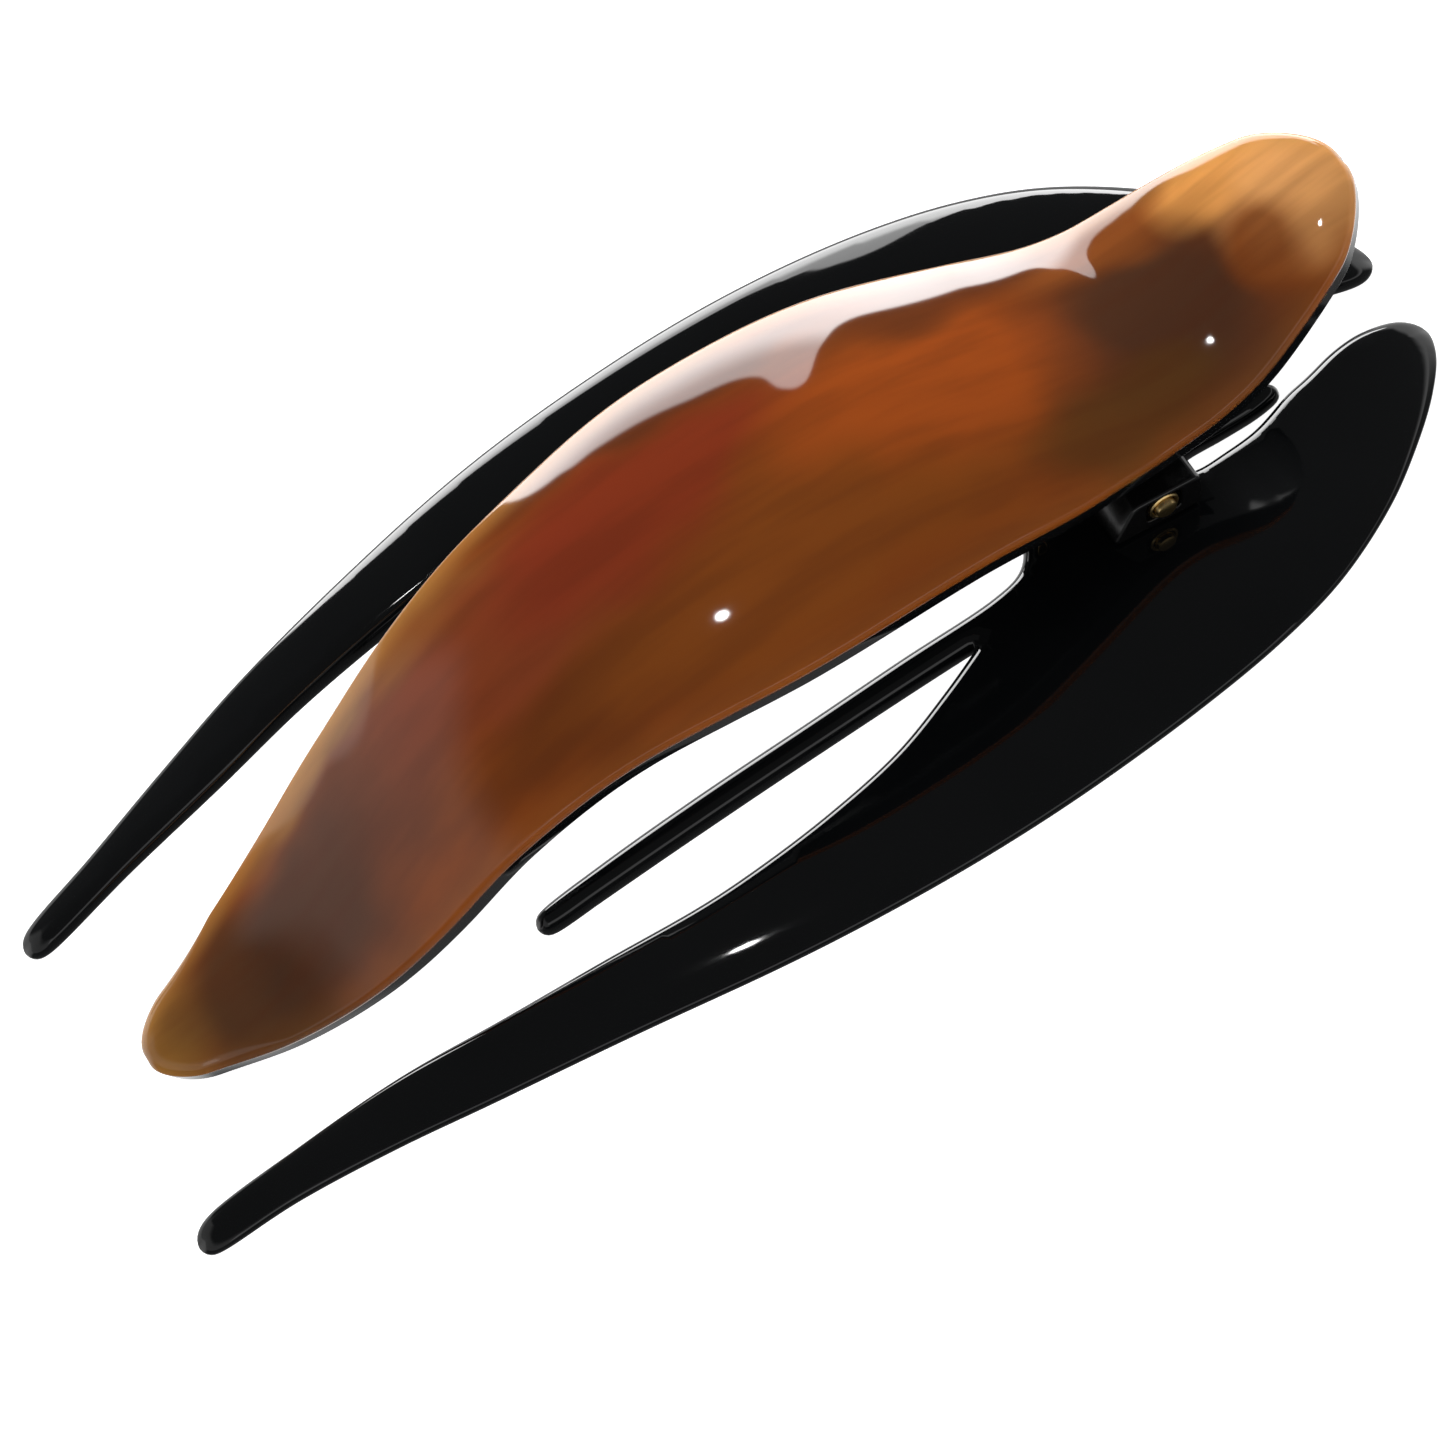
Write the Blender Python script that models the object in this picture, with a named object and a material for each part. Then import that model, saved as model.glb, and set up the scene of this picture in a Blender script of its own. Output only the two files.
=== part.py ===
"""Beak hair clip: a domed tortoise leaf on a black liner, hinged over a black arched fork.

The fork lies on its prong tips and its two horns. +X runs from the prong tips to the horns,
Y runs across, and Z = 0 is the table.
"""

import math

import bmesh
import bpy
import numpy as np
from mathutils import Vector
from mathutils.geometry import delaunay_2d_cdt

MM = 0.001

# Fork: an arched plate with full round edges
HALF_LENGTH = 66.5
ARCH_HEIGHT = 11.2
ARCH_START = 0.5  # middle of the plate above the table at both ends
ARCH_POWER_PRONGS = 2.45
ARCH_POWER_HORNS = 3.0
PLATE_THICKNESS = 3.0
PLATE_CHAMFER = 0.65
OUTLINE_STEP = 2.2
FILL_STEP = 4.5

# Half outline of the fork, (x, y) in mm, from the middle of the tongue round to the V between
# blade and tine, and from there to the middle of the bridge's front edge
BLADE_SIDE = (
    (49.3, 0.0), (49.5, 1.8), (50.2, 3.6), (51.3, 4.3), (51.3, 5.2),
    (50.0, 5.8), (48.0, 6.3), (44.6, 6.7), (40.2, 7.1), (39.2, 7.8), (40.2, 8.6),
    (44.0, 8.3), (47.0, 7.7), (49.2, 6.8), (51.3, 5.8), (53.9, 4.9), (57.6, 3.4),
    (61.0, 2.6), (64.9, 2.8), (66.4, 4.2), (65.8, 6.7), (63.0, 10.6), (58.4, 15.2),
    (53.0, 19.6), (45.4, 24.0), (37.9, 26.6), (29.0, 28.4), (18.0, 29.6), (7.9, 29.9),
    (-3.5, 29.4), (-12.8, 28.4), (-25.5, 26.2), (-38.4, 23.7), (-47.7, 21.5),
    (-57.4, 19.4), (-64.7, 18.3), (-66.0, 17.8), (-66.5, 16.7), (-66.0, 15.6),
    (-64.7, 15.1), (-54.5, 15.8), (-44.2, 16.7), (-34.6, 18.1), (-24.9, 19.1),
    (-15.5, 19.9), (-9.5, 19.8), (-2.4, 19.1), (5.3, 17.6), (11.6, 15.2), (16.2, 13.1),
)
TINE_SIDE = (
    (16.2, 13.1), (8.2, 13.3), (-1.9, 13.6), (-12.0, 13.9), (-22.0, 14.1), (-26.9, 14.1),
    (-27.8, 13.8), (-28.1, 13.0), (-27.8, 12.2), (-26.9, 11.9), (-20.7, 11.5), (-10.4, 11.1), (0.0, 10.8), (9.9, 10.4),
    (19.6, 10.0), (22.6, 9.2), (24.2, 7.4), (24.6, 5.0), (24.6, 0.0),
)

# Leaf: (x, half width) and (x, height of its rim) along its length
LEAF_WIDTHS = (
    (-63.0, 2.5), (-58.0, 3.9), (-50.0, 6.7), (-38.0, 9.9), (-26.0, 11.4), (-14.0, 12.9),
    (2.0, 15.0), (10.0, 15.0), (26.0, 13.6), (38.0, 11.4), (50.0, 9.8), (57.0, 7.6),
    (63.5, 4.6),
)
LEAF_HEIGHTS = (
    (-63.0, 1.6), (-58.0, 2.2), (-50.0, 3.9), (-42.0, 7.8), (-34.0, 13.6), (-26.0, 19.9),
    (-18.0, 24.2), (-6.0, 26.8), (6.0, 27.3), (18.0, 26.1), (30.0, 21.9), (38.0, 19.4),
    (42.0, 19.0), (46.0, 19.5), (54.0, 22.2), (63.5, 25.6),
)
LEAF_ENDS = (-61.7, 63.5)
LEAF_NOSE = (2.6, 5.5)  # length of the rounding at the tip and at the handle
LEAF_CROWN = 0.2  # rise of the middle over the rim, as a share of the half width
COVER_THICKNESS = 2.3
LINER_THICKNESS = 1.1
LEAF_STATIONS = 34
LEAF_STRIPS = 10
GAP = 0.3

# Hinge
HINGE_X = 35.8
HINGE_Z = 14.2
PIN_RADIUS = 1.0
BORE_RADIUS = 1.3
PIN_HALF_LENGTH = 12.9
BLOCK_SIZE = (8.8, 4.0, 4.2)
BLOCK_X = 35.2
BLOCK_RAKE = 2.1  # how far the front face leans back from its foot to its top
BLOCK_INNER_Y = 8.3
POCKET_SIZE = (3.4, 1.4, 3.0)
WASHER_RADIUS = 1.45
WASHER_THICKNESS = 0.5
RIVET_RADIUS = 0.6
RIVET_BORE = 0.9
BLOCK_RIVETS_X = (33.3, 38.3)
BLOCK_RIVETS_Y = 11.2
KNUCKLE_INNER_Y = 4.9
KNUCKLE_THICKNESS = 2.9
KNUCKLE_RADIUS = 2.05
SADDLE_X = (22.6, 45.0)
SADDLE_HALF_WIDTH = 8.0
SADDLE_BOTTOM = 18.0
LIP_THICKNESS = 0.9
LIP_BOTTOM = 12.6
SADDLE_RIVETS = ((27.0, 5.5), (42.6, 5.5))
SPRING_RADIUS = 1.85
SPRING_WIRE = 0.8
SPRING_TURNS = 4.6  # from below the pin to above it
SPRING_START_DEGREES = 255
SPRING_PITCH = 1.1
SPRING_LEG_X = 26.2

PARTS = bpy.data.collections.new("clip")


def clear_scene():
    for obj in list(bpy.data.objects):
        bpy.data.objects.remove(obj, do_unlink=True)
    bpy.context.scene.collection.children.link(PARTS)


def material(name, color, roughness, metallic=0.0):
    made = bpy.data.materials.new(name)
    made.use_nodes = True
    shader = made.node_tree.nodes["Principled BSDF"]
    shader.inputs["Base Color"].default_value = (*color, 1.0)
    shader.inputs["Roughness"].default_value = roughness
    shader.inputs["Metallic"].default_value = metallic
    return made


def smooth_run(points, step):
    """Centripetal Catmull-Rom curve through the points, with a vertex about every step."""
    p = np.array(points, float)
    p = np.vstack([2 * p[0] - p[1], p, 2 * p[-1] - p[-2]])
    out = []
    for i in range(len(p) - 3):
        a, b, c, d = p[i : i + 4]
        t0, t1, t2, t3 = np.cumsum([0.0] + [max(np.linalg.norm(v - u), 1e-6) ** 0.5
                                            for u, v in ((a, b), (b, c), (c, d))])
        count = max(1, round(np.linalg.norm(c - b) / step))
        for t in np.linspace(t1, t2, count, endpoint=False):
            ab = ((t1 - t) * a + (t - t0) * b) / (t1 - t0)
            bc = ((t2 - t) * b + (t - t1) * c) / (t2 - t1)
            cd = ((t3 - t) * c + (t - t2) * d) / (t3 - t2)
            left = ((t2 - t) * ab + (t - t0) * bc) / (t2 - t0)
            right = ((t3 - t) * bc + (t - t1) * cd) / (t3 - t1)
            out.append(((t2 - t) * left + (t - t1) * right) / (t2 - t1))
    return np.array(out + [p[-2]])


def along(knots, x):
    """Height of the smooth curve through (x, value) knots, with Hermite spans."""
    kx, kv = np.array(knots, float).T
    slope = np.gradient(kv, kx)
    i = np.clip(np.searchsorted(kx, x) - 1, 0, len(kx) - 2)
    h = kx[i + 1] - kx[i]
    t = (x - kx[i]) / h
    return ((1 + 2 * t) * (1 - t) ** 2 * kv[i] + t * (1 - t) ** 2 * h * slope[i]
            + t * t * (3 - 2 * t) * kv[i + 1] + t * t * (t - 1) * h * slope[i + 1])


def arch(x):
    """Middle height of the fork plate."""
    s = np.abs(np.asarray(x, float)) / HALF_LENGTH
    power = np.where(np.asarray(x) < 0, ARCH_POWER_PRONGS, ARCH_POWER_HORNS)
    return ARCH_START + ARCH_HEIGHT * (1 - np.minimum(s, 1.0) ** power)


def add_mesh(name, points, faces, mat, smooth=True):
    mesh = bpy.data.meshes.new(name)
    mesh.from_pydata([tuple(p) for p in np.asarray(points) * MM], [], faces)
    mesh.materials.append(mat)
    if smooth:
        mesh.shade_smooth()
        mesh.set_sharp_from_angle(angle=math.radians(40))
    obj = bpy.data.objects.new(name, mesh)
    PARTS.objects.link(obj)
    return obj


def cut(target, cutter, operation="DIFFERENCE"):
    """Adds a Boolean that stays on the target, and hides its operand."""
    cutter.hide_render = True
    cutter.display_type = "WIRE"
    boolean = target.modifiers.new(cutter.name, "BOOLEAN")
    boolean.operation = operation
    boolean.object = cutter


def cylinder(name, centre, radius, depth, axis, mat, segments=24):
    mesh = bpy.data.meshes.new(name)
    shape = bmesh.new()
    bmesh.ops.create_cone(shape, cap_ends=True, segments=segments, radius1=radius * MM,
                          radius2=radius * MM, depth=depth * MM)
    shape.to_mesh(mesh)
    shape.free()
    mesh.shade_smooth()
    mesh.set_sharp_from_angle(angle=math.radians(40))
    mesh.materials.append(mat)
    obj = bpy.data.objects.new(name, mesh)
    obj.location = Vector(centre) * MM
    obj.rotation_euler = Vector(axis).to_track_quat("Z", "Y").to_euler()
    PARTS.objects.link(obj)
    return obj


def box(name, low, high, mat):
    mesh = bpy.data.meshes.new(name)
    shape = bmesh.new()
    bmesh.ops.create_cube(shape, size=1.0)
    size = Vector(high) - Vector(low)
    bmesh.ops.scale(shape, vec=size * MM, verts=shape.verts)
    shape.to_mesh(mesh)
    shape.free()
    mesh.materials.append(mat)
    obj = bpy.data.objects.new(name, mesh)
    obj.location = (Vector(low) + Vector(high)) * 0.5 * MM
    PARTS.objects.link(obj)
    return obj


def inside(points, loop):
    """Even-odd test of each point against a closed loop."""
    a, b = loop, np.roll(loop, -1, axis=0)
    x, y = points[:, 0, None], points[:, 1, None]
    crosses = (a[:, 1] > y) != (b[:, 1] > y)
    rise = np.where(b[:, 1] == a[:, 1], 1.0, b[:, 1] - a[:, 1])
    at = a[:, 0] + (y - a[:, 1]) * (b[:, 0] - a[:, 0]) / rise
    return (crosses & (x < at)).sum(axis=1) % 2 == 1


def inset(loop, distance):
    """Moves a closed loop inwards along its vertex normals."""
    back, ahead = np.roll(loop, 1, axis=0), np.roll(loop, -1, axis=0)
    tangent = ahead - back
    tangent /= np.linalg.norm(tangent, axis=1)[:, None]
    normal = np.stack([-tangent[:, 1], tangent[:, 0]], axis=1)
    area = (loop[:, 0] * ahead[:, 1] - ahead[:, 0] * loop[:, 1]).sum()
    return loop + normal * distance * np.sign(area)


def circle(centre, radius, count=10):
    turn = np.arange(count) * 2 * math.pi / count
    return np.array(centre) + radius * np.stack([np.cos(turn), np.sin(turn)], axis=1)


def fork_outline():
    half = np.vstack([smooth_run(BLADE_SIDE, OUTLINE_STEP)[:-1],
                      smooth_run(TINE_SIDE, OUTLINE_STEP)])
    return np.vstack([half, (half * (1, -1))[-2:0:-1]])


def make_fork(mat):
    """Flat pattern filled with triangles, laid over the arch, with chamfered edges."""
    outline = fork_outline()
    rim = inset(outline, PLATE_CHAMFER)
    holes = [circle((x, side * BLOCK_RIVETS_Y), RIVET_BORE)
             for x in BLOCK_RIVETS_X for side in (-1, 1)]
    grid = np.stack(np.meshgrid(np.arange(-64, 66, FILL_STEP), np.arange(-28, 29, FILL_STEP)),
                    axis=-1).reshape(-1, 2)
    clear = inside(grid, inset(outline, PLATE_CHAMFER + 1.4))
    for hole in holes:
        clear &= np.linalg.norm(grid - hole.mean(axis=0), axis=1) > RIVET_BORE + 1.2
    loops = [rim, *holes]
    flat = np.vstack([*loops, grid[clear]])
    starts = np.cumsum([0] + [len(loop) for loop in loops])
    edges = [(s + i, s + (i + 1) % len(loop))
             for s, loop in zip(starts, loops) for i in range(len(loop))]
    found = delaunay_2d_cdt([Vector(p) for p in flat], edges, [], 0, 1e-7)
    triangles = np.array([tuple(face) for face in found[2]])
    middle = flat[triangles].mean(axis=1)
    keep = inside(middle, rim)
    for hole in holes:
        keep &= ~inside(middle, hole)
    corners = flat[triangles]
    twice_area = np.cross(corners[:, 1] - corners[:, 0], corners[:, 2] - corners[:, 0])
    triangles = np.where((twice_area > 0)[:, None], triangles, triangles[:, ::-1])[keep]
    count, rims = len(flat), len(rim)
    top = np.column_stack([flat, arch(flat[:, 0]) + PLATE_THICKNESS / 2])
    bottom = np.column_stack([flat, np.maximum(arch(flat[:, 0]) - PLATE_THICKNESS / 2, 0.0)])
    edge = np.column_stack([outline, arch(outline[:, 0])])
    faces = [tuple(f) for f in triangles] + [tuple(f[::-1] + count) for f in triangles]
    turns = np.sign((rim[:, 0] * np.roll(rim[:, 1], -1)
                     - np.roll(rim[:, 0], -1) * rim[:, 1]).sum())
    for i in range(rims):
        j = (i + 1) % rims
        for upper, lower in ((0, 2 * count), (2 * count, count)):
            quad = (upper + i, lower + i, lower + j, upper + j)
            faces.append(quad if turns > 0 else quad[::-1])
    for s, hole in zip(starts[1:], holes):
        for i in range(len(hole)):
            j = (i + 1) % len(hole)
            faces.append((s + i, s + j, s + j + count, s + i + count))
    return add_mesh("fork_plate", np.vstack([top, bottom, edge]), faces, mat)


def leaf_surface(x, v):
    """Point of the sheet between cover and liner; v runs from -1 to 1 across."""
    low, high = LEAF_ENDS
    nose = np.minimum(np.sqrt(np.clip(1 - (np.clip(low + LEAF_NOSE[0] - x, 0, None)
                                           / LEAF_NOSE[0]) ** 2, 0.03, 1)),
                      np.sqrt(np.clip(1 - (np.clip(x - high + LEAF_NOSE[1], 0, None)
                                           / LEAF_NOSE[1]) ** 2, 0.03, 1)))
    half = along(LEAF_WIDTHS, x) * nose
    rise = LEAF_CROWN * half * (1 - v * v)
    return np.stack([x, half * v, along(LEAF_HEIGHTS, x) + rise], axis=-1)


def leaf_layer(offset):
    """Grid of points at the offset, a function of v, along the normals of the leaf sheet."""
    low, high = LEAF_ENDS
    u = 0.5 - 0.5 * np.cos(np.linspace(0, math.pi, LEAF_STATIONS))
    u = 0.35 * u + 0.65 * np.linspace(0, 1, LEAF_STATIONS)
    v = np.sin(np.linspace(-math.pi / 2, math.pi / 2, LEAF_STRIPS + 1))
    x, v = np.meshgrid(low + (high - low) * u, v, indexing="ij")
    step = 1e-3
    inner = np.clip(x, low + step, high - step)
    lengthwise = leaf_surface(inner + step, v * 0.98) - leaf_surface(inner - step, v * 0.98)
    across = leaf_surface(x, v + step) - leaf_surface(x, v - step)
    lengthwise[..., 1] = 0.0
    normal = np.cross(lengthwise, across)
    normal /= np.linalg.norm(normal, axis=-1)[..., None]
    return leaf_surface(x, v) + normal * offset(v)[..., None]


def closed_sheet(name, top, bottom, mat):
    """Closes two grids of the same size into one solid."""
    rows, columns = top.shape[:2]
    index = np.arange(rows * columns).reshape(rows, columns)
    total = rows * columns
    quads = np.stack([index[:-1, :-1], index[1:, :-1], index[1:, 1:], index[:-1, 1:]], axis=-1)
    quads = quads.reshape(-1, 4)
    ring = np.concatenate([index[:-1, 0], index[-1, :-1], index[:0:-1, -1], index[0, :0:-1]])
    after = np.roll(ring, -1)
    walls = np.stack([ring, ring + total, after + total, after], axis=-1)
    faces = np.vstack([quads, quads[:, ::-1] + total, walls])
    points = np.vstack([top.reshape(-1, 3), bottom.reshape(-1, 3)])
    return add_mesh(name, points, [tuple(f) for f in faces], mat)


def rounded(thickness, edge, power):
    """Offset that is full in the middle and falls to the edge share at v = -1 and 1."""
    return lambda v: thickness * (edge + (1 - edge) * np.sqrt(1 - np.abs(v) ** power))


def make_leaf(cover_mat, liner_mat):
    over = rounded(COVER_THICKNESS, 0.25, 5)
    under = rounded(LINER_THICKNESS, 0.5, 8)
    half_gap = GAP / 2
    closed_sheet("leaf_cover", leaf_layer(lambda v: half_gap + over(v)),
                 leaf_layer(lambda v: half_gap + 0 * v), cover_mat)
    closed_sheet("leaf_liner", leaf_layer(lambda v: -half_gap + 0 * v),
                 leaf_layer(lambda v: -half_gap - under(v)), liner_mat)


def plate_slope():
    """Slope angle of the fork plate under the hinge."""
    return math.atan2(arch(HINGE_X - 1) - arch(HINGE_X + 1), 2.0)


def plate_top(x):
    return float(arch(x)) + PLATE_THICKNESS / 2


def make_blocks(block_mat, brass):
    """Hinge block on each side of the fork, held by two rivets that come up from below."""
    length, depth, height = BLOCK_SIZE
    tilt = plate_slope()
    for side, label in ((-1, "near"), (1, "far")):
        centre_y = side * (BLOCK_INNER_Y + depth / 2)
        lift = plate_top(BLOCK_X) + GAP + height / 2
        block = box(f"hinge_block_{label}", (-length / 2, -depth / 2, -height / 2),
                    (length / 2, depth / 2, height / 2), block_mat)
        for corner in block.data.vertices:
            if corner.co.x < 0 and corner.co.z > 0:
                corner.co.x += BLOCK_RAKE * MM
        block.location = Vector((BLOCK_X, centre_y, lift)) * MM
        block.rotation_euler = (0, tilt, 0)
        bevel = block.modifiers.new("rounding", "BEVEL")
        bevel.width = 0.6 * MM
        bevel.segments = 2
        pocket = box(f"pocket_{label}", (0, 0, 0), POCKET_SIZE, block_mat)
        outer_y = side * (BLOCK_INNER_Y + depth)
        pocket.location = Vector((HINGE_X, outer_y, HINGE_Z)) * MM
        pocket.rotation_euler = (0, tilt, 0)
        cut(block, pocket)
        cut(block, cylinder(f"pin_bore_{label}", (HINGE_X, centre_y, HINGE_Z), BORE_RADIUS,
                            2 * depth, (0, 1, 0), block_mat))
        for number, x in enumerate(BLOCK_RIVETS_X, 1):
            low = float(arch(x)) - PLATE_THICKNESS / 2
            high = plate_top(x) + GAP + 1.0
            cut(block, cylinder(f"rivet_bore_{label}_{number}",
                                (x, side * BLOCK_RIVETS_Y, high), RIVET_BORE, 2 * GAP + 2.0,
                                (0, 0, 1), block_mat, 12))
            cylinder(f"block_rivet_{label}_{number}",
                     (x, side * BLOCK_RIVETS_Y, (low + high) / 2), RIVET_RADIUS,
                     high - low - 0.2, (0, 0, 1), brass, 12)


def make_pin(brass):
    cylinder("hinge_pin", (HINGE_X, 0, HINGE_Z), PIN_RADIUS, 2 * PIN_HALF_LENGTH, (0, 1, 0),
             brass)
    shift = BLOCK_INNER_Y + BLOCK_SIZE[1] - POCKET_SIZE[1] / 2 + GAP + WASHER_THICKNESS / 2
    for side, label in ((-1, "near"), (1, "far")):
        centre = (HINGE_X, side * shift, HINGE_Z)
        washer = cylinder(f"pin_washer_{label}", centre, WASHER_RADIUS, WASHER_THICKNESS,
                          (0, 1, 0), brass)
        cut(washer, cylinder(f"washer_hole_{label}", centre, PIN_RADIUS + 0.15,
                             4 * WASHER_THICKNESS, (0, 1, 0), brass))


def make_spring(steel):
    """Torsion spring round the pin, with one leg on the bridge and one under the saddle."""
    turns = np.linspace(0, SPRING_TURNS, round(14 * SPRING_TURNS) + 1)
    angle = math.radians(SPRING_START_DEGREES) + turns * 2 * math.pi
    width = SPRING_TURNS * SPRING_PITCH
    coil = np.stack([HINGE_X + SPRING_RADIUS * np.cos(angle), turns * SPRING_PITCH - width / 2,
                     HINGE_Z + SPRING_RADIUS * np.sin(angle)], axis=1)
    low_z = plate_top(SPRING_LEG_X) + SPRING_WIRE / 2 + 0.2
    high_z = SADDLE_BOTTOM - SPRING_WIRE / 2 - 0.2
    lower_leg = [(SPRING_LEG_X, coil[0, 1] - 0.6, low_z), (31.5, coil[0, 1] - 0.4, 12.6)]
    upper_leg = [(31.8, coil[-1, 1] + 0.4, 15.6), (SPRING_LEG_X, coil[-1, 1] + 0.6, high_z)]
    points = np.vstack([lower_leg, coil, upper_leg])
    curve = bpy.data.curves.new("torsion_spring", "CURVE")
    curve.dimensions = "3D"
    curve.bevel_depth = SPRING_WIRE / 2 * MM
    curve.bevel_resolution = 1
    curve.use_fill_caps = True
    spline = curve.splines.new("POLY")
    spline.points.add(len(points) - 1)
    spline.points.foreach_set("co", np.column_stack([points * MM, np.ones(len(points))]).ravel())
    curve.materials.append(steel)
    PARTS.objects.link(bpy.data.objects.new("torsion_spring", curve))


def knuckle(name, side, mat):
    """Lug of the saddle: the hull of a round end at the pin and a wide root in the saddle."""
    turn = np.linspace(math.pi, 2 * math.pi, 13)
    lower = np.stack([HINGE_X + KNUCKLE_RADIUS * np.cos(turn),
                      HINGE_Z + KNUCKLE_RADIUS * np.sin(turn)], axis=1)
    profile = [*map(tuple, lower), (HINGE_X + 3.4, SADDLE_BOTTOM + 0.5),
               (HINGE_X - 3.4, SADDLE_BOTTOM + 0.5)]
    inner, outer = (side * (KNUCKLE_INNER_Y + t) for t in (0, KNUCKLE_THICKNESS))
    count = len(profile)
    points = [(x, y, z) for y in (inner, outer) for x, z in profile]
    caps = [tuple(range(count)), tuple(reversed(range(count, 2 * count)))]
    walls = [(i + count, (i + 1) % count + count, (i + 1) % count, i) for i in range(count)]
    faces = caps + walls
    if side < 0:
        faces = [tuple(reversed(face)) for face in faces]
    return add_mesh(name, points, [tuple(reversed(face)) for face in faces], mat)


def make_saddle(mat, brass):
    """Moulded saddle under the liner: two knuckles, and a lip that keeps hair off the spring."""
    x, v = np.meshgrid(np.linspace(*SADDLE_X, 9), np.linspace(-1, 1, 7), indexing="ij")
    y = v * SADDLE_HALF_WIDTH
    share = y / along(LEAF_WIDTHS, x)
    under = (leaf_surface(x, share)[..., 2] - GAP / 2 - LINER_THICKNESS - 2 * GAP)
    top = np.stack([x, y, under], axis=-1)
    bottom = np.stack([x, y, np.full_like(x, SADDLE_BOTTOM)], axis=-1)
    saddle = closed_sheet("hinge_saddle", top, bottom, mat)
    for side, label in ((-1, "near"), (1, "far")):
        cut(saddle, knuckle(f"knuckle_{label}", side, mat), "UNION")
    lip = box("hair_lip", (SADDLE_X[0] + 0.1, -SADDLE_HALF_WIDTH + 0.1, LIP_BOTTOM),
              (SADDLE_X[0] + LIP_THICKNESS, SADDLE_HALF_WIDTH - 0.1, SADDLE_BOTTOM + 0.6), mat)
    cut(saddle, lip, "UNION")
    cut(saddle, cylinder("knuckle_bore", (HINGE_X, 0, HINGE_Z), BORE_RADIUS, 20, (0, 1, 0), mat))
    for number, (x, y) in enumerate(SADDLE_RIVETS, 1):
        for side, label in ((-1, "near"), (1, "far")):
            cut(saddle, cylinder(f"saddle_bore_{label}_{number}", (x, side * y, SADDLE_BOTTOM),
                                 RIVET_BORE, 2.0, (0, 0, 1), mat, 12))
            cylinder(f"saddle_rivet_{label}_{number}", (x, side * y, SADDLE_BOTTOM + 0.3),
                     RIVET_RADIUS, 0.6, (0, 0, 1), brass, 12)


def main():
    clear_scene()
    black = material("black acetate", (0.004, 0.004, 0.005), 0.06)
    tortoise = material("tortoise acetate", (0.30, 0.09, 0.015), 0.08)
    moulded = material("moulded black nylon", (0.01, 0.01, 0.011), 0.25)
    brass = material("brass", (0.75, 0.55, 0.22), 0.25, 1.0)
    make_fork(black)
    make_leaf(tortoise, black)
    make_blocks(moulded, brass)
    make_pin(brass)
    make_spring(brass)
    make_saddle(moulded, brass)


main()
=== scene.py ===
import math

import bmesh
import bpy
import numpy as np
from mathutils import Matrix, Vector
from mathutils.geometry import delaunay_2d_cdt


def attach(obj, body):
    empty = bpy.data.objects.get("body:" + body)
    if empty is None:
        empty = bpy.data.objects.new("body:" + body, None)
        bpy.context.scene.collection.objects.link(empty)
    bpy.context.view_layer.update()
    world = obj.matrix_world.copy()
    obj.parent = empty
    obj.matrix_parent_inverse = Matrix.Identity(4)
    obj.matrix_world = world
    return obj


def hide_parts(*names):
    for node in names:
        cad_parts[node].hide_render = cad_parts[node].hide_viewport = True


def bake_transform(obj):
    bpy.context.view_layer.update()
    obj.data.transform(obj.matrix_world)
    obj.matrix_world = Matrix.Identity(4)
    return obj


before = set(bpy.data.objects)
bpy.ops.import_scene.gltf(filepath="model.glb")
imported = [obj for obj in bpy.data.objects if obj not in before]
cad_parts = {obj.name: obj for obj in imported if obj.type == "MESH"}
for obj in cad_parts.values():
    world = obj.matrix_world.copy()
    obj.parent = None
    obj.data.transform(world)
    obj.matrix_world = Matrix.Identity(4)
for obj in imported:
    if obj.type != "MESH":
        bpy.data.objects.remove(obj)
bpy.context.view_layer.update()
mm = 0.001

# camera: set back on a long lens, turned about its own axis so the clip lies across the frame
cameraSetup = {
    "azimuth": -9.895,
    "elevation": 62.0,
    "roll": -23.147,
    "target": (-4.306, -0.389, 0.5),  # mm
    "distance": 500.0,  # mm
    "lens": 143.1,
    "sensor": 36.0,
}


def placeCamera(setup):
    turn, rise, roll = (math.radians(setup[key]) for key in ("azimuth", "elevation", "roll"))
    back = Vector((math.sin(turn) * math.cos(rise), -math.cos(turn) * math.cos(rise),
                   math.sin(rise)))
    level = Vector((math.cos(turn), math.sin(turn), 0.0))
    upright = back.cross(level)
    right = math.cos(roll) * level + math.sin(roll) * upright
    up = math.cos(roll) * upright - math.sin(roll) * level
    data = bpy.data.cameras.new("camera")
    data.lens = setup["lens"]
    data.sensor_width = setup["sensor"]
    data.clip_start = 0.01
    camera = bpy.data.objects.new("camera", data)
    place = (Vector(setup["target"]) + setup["distance"] * back) * mm
    turned = Matrix((right, up, back)).transposed().to_4x4()
    camera.matrix_world = Matrix.Translation(place) @ turned
    bpy.context.scene.collection.objects.link(camera)
    bpy.context.scene.camera = camera
    print("camera placed")


placeCamera(cameraSetup)


def linear(hexColor, alpha=1.0):
    # sRGB hex to the linear values that the shader wants
    raw = [int(hexColor[i:i + 2], 16) / 255 for i in (1, 3, 5)]
    return (*[c / 12.92 if c <= 0.04045 else ((c + 0.055) / 1.055) ** 2.4 for c in raw], alpha)


def addNode(tree, kind, inputs=None, **settings):
    # adds a node, sets its properties, and fills or links its inputs
    node = tree.nodes.new(kind)
    for key, value in settings.items():
        setattr(node, key, value)
    for key, value in (inputs or {}).items():
        if isinstance(value, bpy.types.NodeSocket):
            tree.links.new(value, node.inputs[key])
        else:
            node.inputs[key].default_value = value
    return node


def newMaterial(name, **sockets):
    made = bpy.data.materials.new(name)
    made.use_nodes = True
    tree = made.node_tree
    shader = tree.nodes["Principled BSDF"]
    for key, value in sockets.items():
        shader.inputs[key].default_value = value
    return made, tree, shader


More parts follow.
